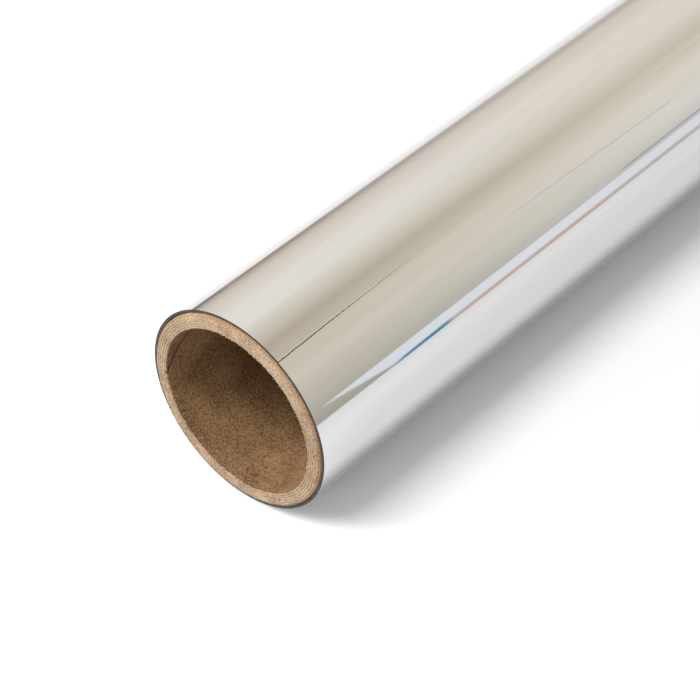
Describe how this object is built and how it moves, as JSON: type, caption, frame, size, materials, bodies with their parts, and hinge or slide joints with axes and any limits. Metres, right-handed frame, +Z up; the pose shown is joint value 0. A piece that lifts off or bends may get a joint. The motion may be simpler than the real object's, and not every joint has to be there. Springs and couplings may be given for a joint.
{
  "type": "mirror foil roll",
  "caption": "Wide roll of silver mirror-finish foil wound on a spiral kraft paper core with an open bore; the loose end of the foil peels up and curls back.",
  "frame": {"origin": "under the middle of the roll, on the surface that the roll lies on; the roll's axis is at x = 0, z = 18.96 mm", "axes": "+Y along the roll's axis, away from the end that is seen; +Z up; +X towards the side that the foil's free edge faces"},
  "size_m": [0.0381, 0.306, 0.038],
  "materials": {
    "kraft_liner": "matte",
    "kraft_body": "matte",
    "kraft_wrap": "matte",
    "tissue_tape": "satin",
    "mirror_foil": "polished"
  },
  "bodies": {
    "roll": {"core_inner_liner": "kraft_liner", "core_body_ply_1": "kraft_body", "core_body_ply_2": "kraft_body", "core_body_ply_3": "kraft_body", "core_body_ply_4": "kraft_body", "core_outer_wrap": "kraft_wrap", "starter_tape": "tissue_tape", "foil_roll": "mirror_foil"},
    "tail_1": {"foil_tail_1": "mirror_foil"},
    "tail_2": {"foil_tail_2": "mirror_foil"},
    "tail_3": {"foil_tail_3": "mirror_foil"},
    "tail_4": {"foil_tail_4": "mirror_foil"}
  },
  "joints": [
    {"name": "tail_peel", "type": "hinge", "parent": "roll", "child": "tail_1", "pos_m": [-0.01744, 0, 0.02672], "axis": [0, -1, 0], "range_deg": [0, 20], "stiffness_Nm_per_rad": 0.0006},
    {"name": "tail_uncurl_2", "type": "hinge", "parent": "tail_1", "child": "tail_2", "pos_m": [-0.01278, 0, 0.03315], "axis": [0, -1, 0], "range_deg": [0, 20], "stiffness_Nm_per_rad": 0.0006},
    {"name": "tail_uncurl_3", "type": "hinge", "parent": "tail_2", "child": "tail_3", "pos_m": [-0.0059, 0, 0.03712], "axis": [0, -1, 0], "range_deg": [0, 20], "stiffness_Nm_per_rad": 0.0006},
    {"name": "tail_uncurl_4", "type": "hinge", "parent": "tail_3", "child": "tail_4", "pos_m": [0.002, 0, 0.03796], "axis": [0, -1, 0], "range_deg": [0, 20], "stiffness_Nm_per_rad": 0.0006}
  ],
  "couplings": [
    {"joint": "tail_uncurl_2", "follows": "tail_peel", "ratio": 1},
    {"joint": "tail_uncurl_3", "follows": "tail_peel", "ratio": 1},
    {"joint": "tail_uncurl_4", "follows": "tail_peel", "ratio": 1}
  ]
}
